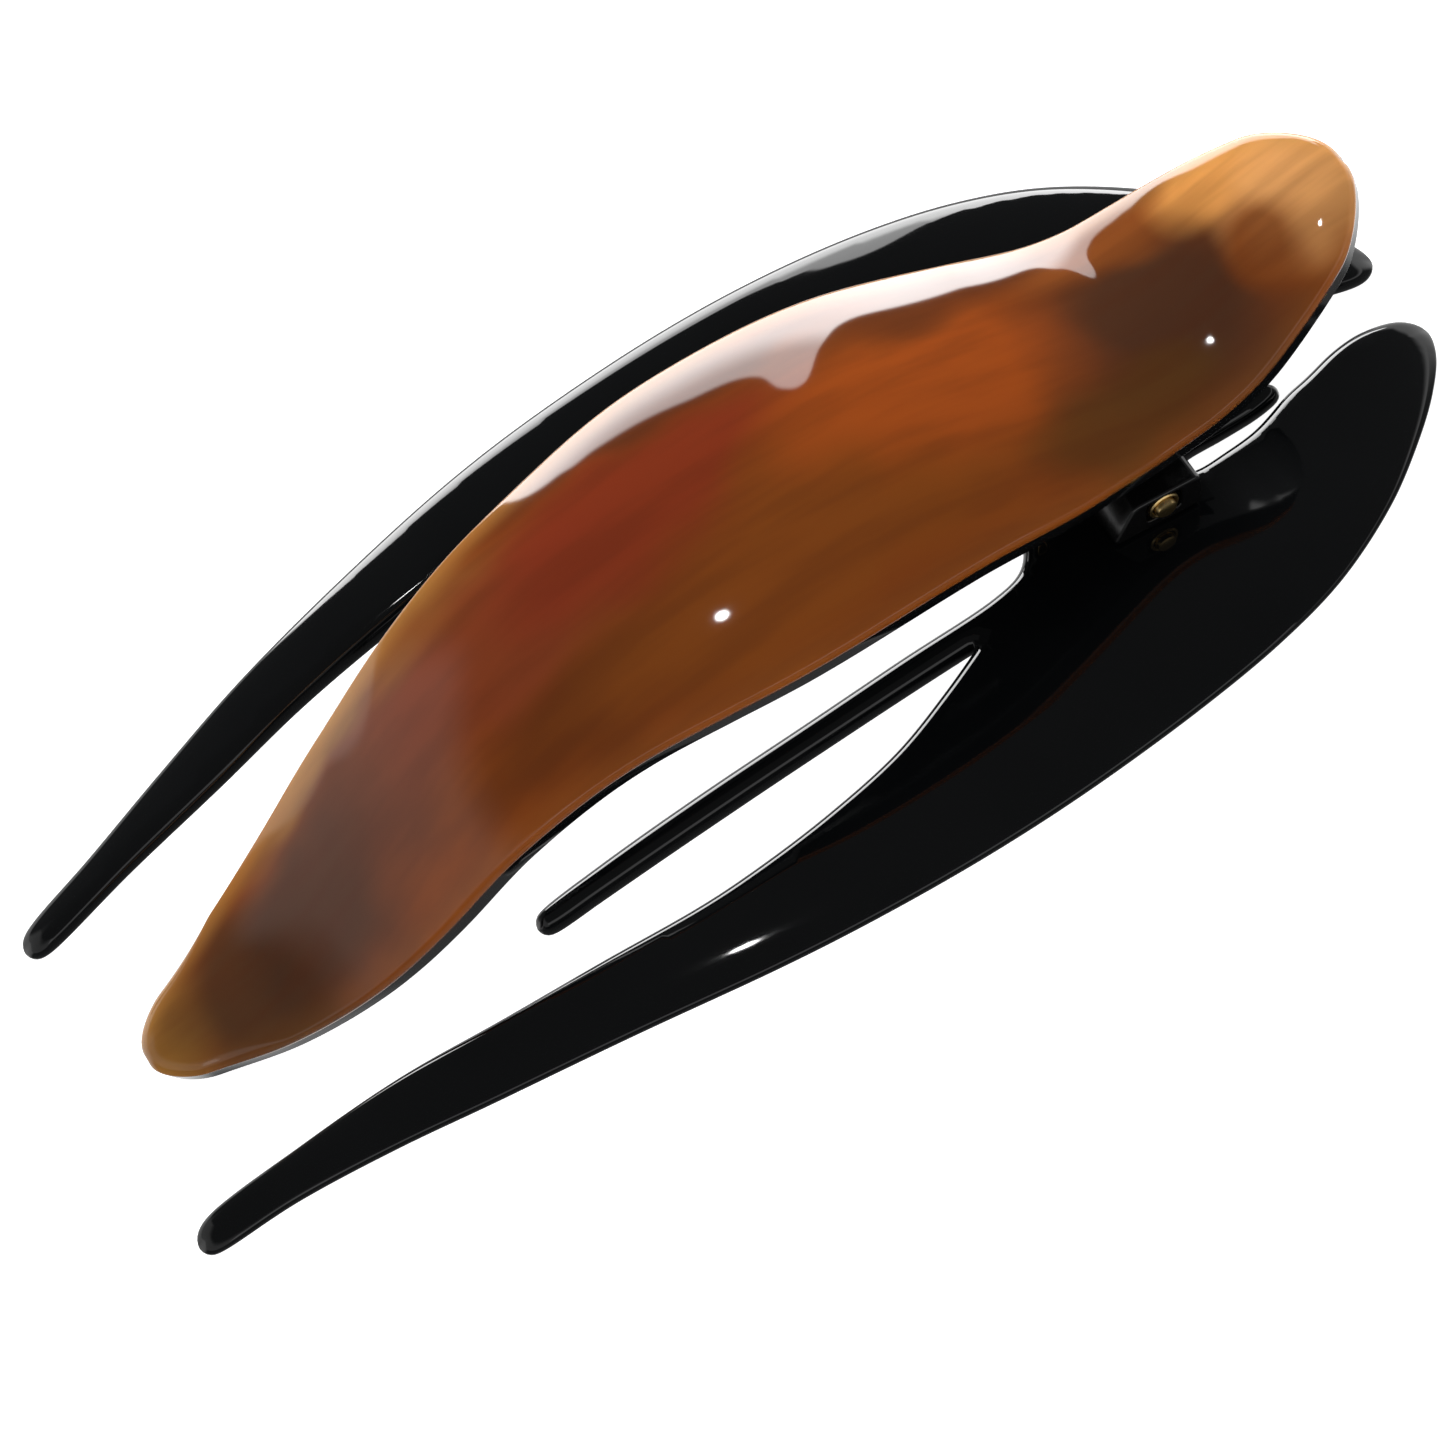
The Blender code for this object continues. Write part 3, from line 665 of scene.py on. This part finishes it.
def roundedFrame(halfX, halfZ, corners, count=10):
    # closed ring of a rectangle with four round corners, counter-clockwise seen from -y
    ring = []
    for turn, (signX, signZ), corner in zip(range(4), ((1, 1), (-1, 1), (-1, -1), (1, -1)),
                                            corners):
        corner = min(corner, halfX - 1e-3, halfZ - 1e-3)
        angle = np.linspace(turn * math.pi / 2, (turn + 1) * math.pi / 2, count)
        ring.append(corner * np.stack([np.cos(angle), np.sin(angle)], axis=1)
                    + (signX * (halfX - corner), signZ * (halfZ - corner)))
    return np.vstack(ring)


def makeBlock(side, label):
    # round-cornered frames carried outwards across the clip, round the fillets, back into the
    # pocket, and closed to a point at each end
    length, depth, height = hinge["blockSize"]
    fillet, corners = hinge["blockFillet"], hinge["blockCorners"]
    pocketX, pocketZ, pocketDepth = hinge["pocket"]
    turn = np.linspace(0, math.pi / 2, 8)
    halfX, halfZ = length / 2, height / 2
    plateX = hinge["blockX"]
    tilt = -math.atan(float(arch(hinge["x"], slope=True)))
    c, s = math.cos(tilt), math.sin(tilt)
    lift = float(arch(plateX)) + fork["halfThickness"] + hinge["lift"] + halfZ
    pocketAt = ((hinge["x"] - plateX) * c - (hinge["z"] - lift) * s,
                (hinge["x"] - plateX) * s + (hinge["z"] - lift) * c)
    rings = [(0.0, 0.02, 0.02, (0.01,) * 4, 0.0)]
    for angle in turn:
        cutBack = fillet * (1 - math.sin(angle))
        rings.append((fillet * (1 - math.cos(angle)), halfX - cutBack, halfZ - cutBack, corners,
                      0.0))
    for angle in turn[::-1]:
        cutBack = fillet * (1 - math.sin(angle))
        rings.append((depth - fillet * (1 - math.cos(angle)), halfX - cutBack, halfZ - cutBack,
                      corners, 0.0))
    lip, soft = hinge["pocketLip"], (hinge["pocketCorner"],) * 4
    for angle in turn:
        grow = lip * (1 - math.sin(angle))
        rings.append((depth - lip * (1 - math.cos(angle)), pocketX + grow, pocketZ + grow, soft,
                      1.0))
    rings += [(depth - pocketDepth, pocketX, pocketZ, soft, 1.0),
              (depth - pocketDepth, 0.02, 0.02, (0.01,) * 4, 1.0)]
    frames = []
    for y, hx, hz, radii, moved in rings:
        ring = roundedFrame(hx, hz, radii) + moved * np.array(pocketAt)
        if not moved:
            ring[:, 0] += hinge["blockRake"] * (0.5 + ring[:, 1] / height) * (0.5 - ring[:, 0]
                                                                             / length)
        frames.append(np.column_stack([ring[:, 0], np.full(len(ring), y), ring[:, 1]]))
    rows, columns = len(frames), len(frames[0])
    faces = gridFaces(rows, columns, wrap=True).tolist()
    faces += [list(range(columns)), list(range((rows - 1) * columns, rows * columns))[::-1]]
    points = np.vstack(frames)
    placed = np.column_stack([plateX + c * points[:, 0] + s * points[:, 2],
                              side * (hinge["blockInner"] + points[:, 1]),
                              lift - s * points[:, 0] + c * points[:, 2]])
    piece = makePiece(f"hingeBlock{label}", placed, faces, nylonBlack, sharp=35)
    tidyMesh(piece, 35)
    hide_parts(f"hinge_block_{label.lower()}")
    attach(piece, "fork")


for side, label in ((-1, "Near"), (1, "Far")):
    makeBlock(side, label)


def turnedPiece(name, profile, middle, axis, material, segments=48, ring=False):
    # (radius, run) profile turned about an axis through the middle, closed on itself for a ring
    profile = [*profile, profile[0]] if ring else profile
    turn = np.arange(segments) * 2 * math.pi / segments
    radius, run = np.array(profile, float).T
    ringX = radius[:, None] * np.cos(turn)
    ringY = radius[:, None] * np.sin(turn)
    runs = np.repeat(run[:, None], segments, axis=1)
    order = (ringX, runs, ringY) if axis == "y" else (ringX, ringY, runs)
    points = np.stack(order, axis=-1).reshape(-1, 3) + np.array(middle)
    rows = len(profile)
    faces = gridFaces(rows, segments, wrap=True).tolist()
    if not ring:
        faces += [list(range(segments)), list(range((rows - 1) * segments, rows * segments))[::-1]]
    piece = makePiece(name, points, faces, material, sharp=35)
    tidyMesh(piece, 35)
    return piece


pin = {"radius": 1.0, "half": 12.9, "chamfer": 0.3}


def makePin():
    r, half, cutOff = pin["radius"], pin["half"], pin["chamfer"]
    ends = [(r - cutOff, 0.0), (r - 0.3 * cutOff, 0.3 * cutOff), (r, cutOff)]
    profile = [(radius, run - half) for radius, run in ends]
    profile += [(radius, half - run) for radius, run in reversed(ends)]
    piece = turnedPiece("hingePin", profile, (hinge["x"], 0, hinge["z"]), "y", brassGold)
    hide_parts("hinge_pin")
    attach(piece, "fork")


makePin()

washer = {"outer": 1.45, "inner": 1.12, "half": 0.25, "y": 12.15, "chamfer": 0.1}
rivet = {
    "radius": 0.6,
    "chamfer": 0.08,
    "head": (0.85, 0.22),  # radius and height of the domed head
    "block": ((33.3, 11.2), (38.3, 11.2)),
    "blockGrip": 1.2,  # how far it stands into the block
    "saddle": ((27.0, 5.5), (42.6, 5.5)),
    "saddleGrip": 0.6,
}


def makeWasher(side, label):
    # square section with cut corners, carried round the pin
    outer, inner, half, c = (washer[key] for key in ("outer", "inner", "half", "chamfer"))
    profile = [(inner, half - c), (inner, c - half), (inner + c, -half), (outer - c, -half),
               (outer, c - half), (outer, half - c), (outer - c, half), (inner + c, half)]
    piece = turnedPiece(f"pinWasher{label}", profile, (hinge["x"], side * washer["y"], hinge["z"]),
                        "y", brassGold, ring=True)
    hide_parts(f"pin_washer_{label.lower()}")
    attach(piece, "fork")


def makeRivet(name, node, spot, low, high, body):
    # shank from low to high, over a head whose dome hangs below it
    radius, (headRadius, headHeight) = rivet["radius"], rivet["head"]
    turn = np.linspace(0, math.pi / 2, 9)
    profile = [(max(headRadius * math.sin(a), 0.01), low - headHeight * math.cos(a)) for a in turn]
    cutOff = rivet["chamfer"]
    profile += [(radius, low + 0.03), (radius, high - cutOff), (radius - cutOff, high)]
    piece = turnedPiece(name, profile, (spot[0], spot[1], 0.0), "z", brassGold, segments=32)
    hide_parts(node)
    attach(piece, body)


for side, label in ((-1, "Near"), (1, "Far")):
    makeWasher(side, label)
    for number in (1, 2):
        x, y = rivet["block"][number - 1]
        middle = float(arch(x))
        makeRivet(f"blockRivet{label}{number}", f"block_rivet_{label.lower()}_{number}",
                  (x, side * y), middle - fork["halfThickness"],
                  middle + fork["halfThickness"] + rivet["blockGrip"], "fork")
        x, y = rivet["saddle"][number - 1]
        makeRivet(f"saddleRivet{label}{number}", f"saddle_rivet_{label.lower()}_{number}",
                  (x, side * y), hinge["saddleBottom"],
                  hinge["saddleBottom"] + rivet["saddleGrip"], "upper_jaw")

spring = {
    "radius": 1.85,
    "wire": 0.4,
    "turns": 4.6,
    "start": 255,
    "pitch": 1.1,
    "sides": 14,
    "legX": 26.2,
    "legSplay": (0.4, 0.6),  # across the clip, at its knee and at its end
    "knees": ((31.5, 12.6), (31.8, 15.6)),  # x and z where the lower and the upper leg bend
    "clearance": 0.2,
}


def tubeAlong(path, radius, sides):
    # circle carried along the path, turned with it so that it doesn't twist
    tangent = np.gradient(path, axis=0)
    tangent /= np.linalg.norm(tangent, axis=1)[:, None]
    first = np.cross(tangent[0], (0, 1, 0.2))
    across = [first / np.linalg.norm(first)]
    for t in tangent[1:]:
        step = across[-1] - t * (across[-1] @ t)
        across.append(step / np.linalg.norm(step))
    across = np.array(across)
    other = np.cross(tangent, across)
    turn = np.arange(sides) * 2 * math.pi / sides
    ring = (across[:, None] * np.cos(turn)[None, :, None]
            + other[:, None] * np.sin(turn)[None, :, None])
    return (path[:, None] + radius * ring).reshape(-1, 3)


def makeSpring():
    # x and z go round the pin while y runs along it, and a straight leg leaves each end
    turns = np.linspace(0, spring["turns"], round(40 * spring["turns"]) + 1)
    angle = math.radians(spring["start"]) + turns * 2 * math.pi
    width = spring["turns"] * spring["pitch"]
    coil = np.stack([hinge["x"] + spring["radius"] * np.cos(angle),
                     turns * spring["pitch"] - width / 2,
                     hinge["z"] + spring["radius"] * np.sin(angle)], axis=1)
    legX, sides = spring["legX"], spring["sides"]
    lowZ = float(arch(legX)) + fork["halfThickness"] + spring["wire"] + spring["clearance"]
    highZ = hinge["saddleBottom"] - spring["wire"] - spring["clearance"]
    atKnee, atEnd = spring["legSplay"]
    (lowX, lowKnee), (highX, highKnee) = spring["knees"]
    first = [(legX, coil[0, 1] - atEnd, lowZ), (lowX, coil[0, 1] - atKnee, lowKnee)]
    last = [(highX, coil[-1, 1] + atKnee, highKnee), (legX, coil[-1, 1] + atEnd, highZ)]
    path = np.vstack([smoothRun([*first, coil[0]], 0.25)[:-1], coil,
                      smoothRun([coil[-1], *last], 0.25)[1:]])
    points = tubeAlong(path, spring["wire"], sides)
    rows = len(path)
    faces = gridFaces(rows, sides, wrap=True).tolist()
    faces += [list(range(sides)), list(range((rows - 1) * sides, rows * sides))[::-1]]
    piece = makePiece("torsionSpring", points, faces, brassGold)
    tidyMesh(piece, 50)
    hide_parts("torsion_spring")
    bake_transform(piece)


makeSpring()

saddle = {"fillet": 0.35, "segments": 3, "crease": 35}


def makeSaddle():
    # the frame's saddle, its flats made whole and its edges rounded as a mould leaves them
    shape = bmesh.new()
    shape.from_mesh(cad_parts["hinge_saddle"].data)
    bmesh.ops.remove_doubles(shape, verts=shape.verts, dist=2e-6)
    bmesh.ops.dissolve_limit(shape, angle_limit=math.radians(1), verts=shape.verts,
                             edges=shape.edges)
    creased = [edge for edge in shape.edges
               if len(edge.link_faces) == 2
               and edge.calc_face_angle() > math.radians(saddle["crease"])]
    bmesh.ops.bevel(shape, geom=creased, offset=saddle["fillet"] * mm, offset_type="OFFSET",
                    segments=saddle["segments"], profile=0.5, affect="EDGES", clamp_overlap=True)
    bmesh.ops.triangulate(shape, faces=shape.faces)
    mesh = bpy.data.meshes.new("hingeSaddle")
    shape.to_mesh(mesh)
    shape.free()
    mesh.materials.append(nylonBlack)
    piece = bpy.data.objects.new("hingeSaddle", mesh)
    bpy.context.scene.collection.objects.link(piece)
    tidyMesh(piece, saddle["crease"])
    weighted = piece.modifiers.new("flats", "WEIGHTED_NORMAL")
    weighted.keep_sharp = True
    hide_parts("hinge_saddle")
    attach(piece, "upper_jaw")


makeSaddle()
print("hinge made")


stage = {
    "floorSize": 6.0,
    "floorDrop": 0.2,  # mm
    "floorColor": "#f4f4f4",
    "floorGlow": 0.9,
    "ceilingBright": 0.11,
    # grey walls: height where each fades out, how far to the side it comes in, and how bright
    "walls": (((0.35, 0.55), (-0.55, -0.7), 0.5), ((0.04, 0.16), (0.5, 0.7), 1.0)),
    "table": ((0.0, 0.35), (0.12, 1.1)),  # where it turns from near to far, and how bright each is
    # soft lights: place in metres, size in metres, watts, and whether the gloss mirrors it
    "lights": [
        ("keySoft", (-0.1, 0.15, 1.25), (1.2, 1.0), 8.0, False),
        ("nearSoft", (-0.1, -0.9, 0.75), (1.4, 0.9), 2.0, False),
        ("nearStrip", (0.0, -1.1, 0.47), (2.4, 0.36), 3.0, True),
        ("fillLeft", (-1.0, -0.45, 0.35), (0.5, 0.4), 1.2, False),
        ("fillRight", (1.0, -0.45, 0.35), (0.5, 0.4), 1.2, False),
    ],
    "lamp": ((-0.088, 0.067, 1.0), 0.018, 1.1),  # place and radius in metres, watts
    # far window: azimuth and elevation of its head in degrees from one side to the other, and how
    # bright it is low down and high up
    "windowHead": ((-12, 14), (-9, 23), (-4, 25), (8, 28), (16, 31), (20, 37), (24, 37), (27, 26),
                   (32, 16), (39, 9), (46, 3)),
    "windowBright": (12.0, 6.0),
    "windowFade": (19.0, 27.0),  # degrees up between the two
}


def makeFloor():
    half, level = stage["floorSize"] / 2, -stage["floorDrop"] * mm
    mesh = bpy.data.meshes.new("floor")
    mesh.from_pydata([(-half, -half, level), (half, -half, level), (half, half, level),
                      (-half, half, level)], [], [(0, 1, 2, 3)])
    made, _, shader = newMaterial("lit white table", Roughness=0.6)
    shader.inputs["Base Color"].default_value = linear(stage["floorColor"])
    shader.inputs["Emission Color"].default_value = (1.0, 1.0, 1.0, 1.0)
    shader.inputs["Emission Strength"].default_value = stage["floorGlow"]
    mesh.materials.append(made)
    floor = bpy.data.objects.new("floor", mesh)
    bpy.context.scene.collection.objects.link(floor)
    floor.visible_glossy = False  # the gloss mirrors the studio's own table light instead


def windowLight(tree, x, y, z):
    # how bright the far window is in each direction
    knots, (low, high) = stage["windowHead"], stage["windowBright"]
    (left, _), (right, _) = knots[0], knots[-1]
    azimuth = sums(tree, "DEGREES", sums(tree, "ARCTAN2", x, y))
    rise = sums(tree, "DEGREES", sums(tree, "ARCSINE", z))
    across = mapValue(tree, azimuth, left, right, 0.0, 1.0, smooth=False)
    head = addNode(tree, "ShaderNodeFloatCurve", {"Value": across})
    curve = head.mapping.curves[0]
    for at, height in knots[1:-1]:
        curve.points.new((at - left) / (right - left), height / 90)
    curve.points[0].location = (0.0, knots[0][1] / 90)
    curve.points[-1].location = (1.0, knots[-1][1] / 90)
    head.mapping.update()
    above = sums(tree, "SUBTRACT", sums(tree, "MULTIPLY", rise, 1 / 90), head.outputs[0])
    bright = mapValue(tree, rise, *stage["windowFade"], low, high)
    for share in (mapValue(tree, above, -0.008, 0.008, 1.0, 0.0),
                  mapValue(tree, rise, -1.0, 0.0, 0.0, 1.0),
                  mapValue(tree, azimuth, left - 1, left + 1, 0.0, 1.0),
                  mapValue(tree, azimuth, right - 1, right + 1, 1.0, 0.0)):
        bright = sums(tree, "MULTIPLY", bright, share)
    return bright


def makeWorld():
    # dark studio with grey walls at both sides, a window beyond the clip and a lit table under it,
    # so that edges that face away light up and edges that face the camera stay black
    world = bpy.data.worlds.new("studio")
    world.use_nodes = True
    tree = world.node_tree
    coords = addNode(tree, "ShaderNodeTexCoord")
    parts = addNode(tree, "ShaderNodeSeparateXYZ", {0: coords.outputs["Generated"]})
    x, y, z = parts.outputs
    below = mapValue(tree, z, -0.02, 0.03, 1.0, 0.0)
    (near, far), brights = stage["table"]
    table = mapValue(tree, y, near, far, *brights)
    wall = stage["ceilingBright"]
    for heights, reach, level in stage["walls"]:
        low = mapValue(tree, z, *heights, 1.0, 0.0)
        wall = sums(tree, "MULTIPLY_ADD", low, mapValue(tree, x, *reach, 0.0, level), wall)
    room = addNode(tree, "ShaderNodeMix", {0: below, 2: wall, 3: table}).outputs[0]
    bright = sums(tree, "ADD", room, windowLight(tree, x, y, z))
    tree.links.new(bright, tree.nodes["Background"].inputs["Strength"])
    tree.nodes["Background"].inputs["Color"].default_value = (1.0, 1.0, 1.0, 1.0)
    bpy.context.scene.world = world


def makeLights():
    for name, spot, size, watts, mirrored in stage["lights"]:
        data = bpy.data.lights.new(name, "AREA")
        data.shape = "RECTANGLE"
        data.size, data.size_y = size
        data.energy = watts
        light = bpy.data.objects.new(name, data)
        light.location = spot
        light.rotation_euler = (-Vector(spot)).to_track_quat("-Z", "Y").to_euler()
        light.visible_glossy = mirrored
        bpy.context.scene.collection.objects.link(light)


def makeLamp():
    # the small ceiling lamp that leaves a bright dot on each rounded surface
    spot, radius, watts = stage["lamp"]
    data = bpy.data.lights.new("ceilingLamp", "POINT")
    data.energy = watts
    data.shadow_soft_size = radius
    lamp = bpy.data.objects.new("ceilingLamp", data)
    lamp.location = spot
    bpy.context.scene.collection.objects.link(lamp)


makeFloor()
makeWorld()
makeLights()
makeLamp()
bpy.context.scene.view_settings.view_transform = "Standard"
print("stage set")
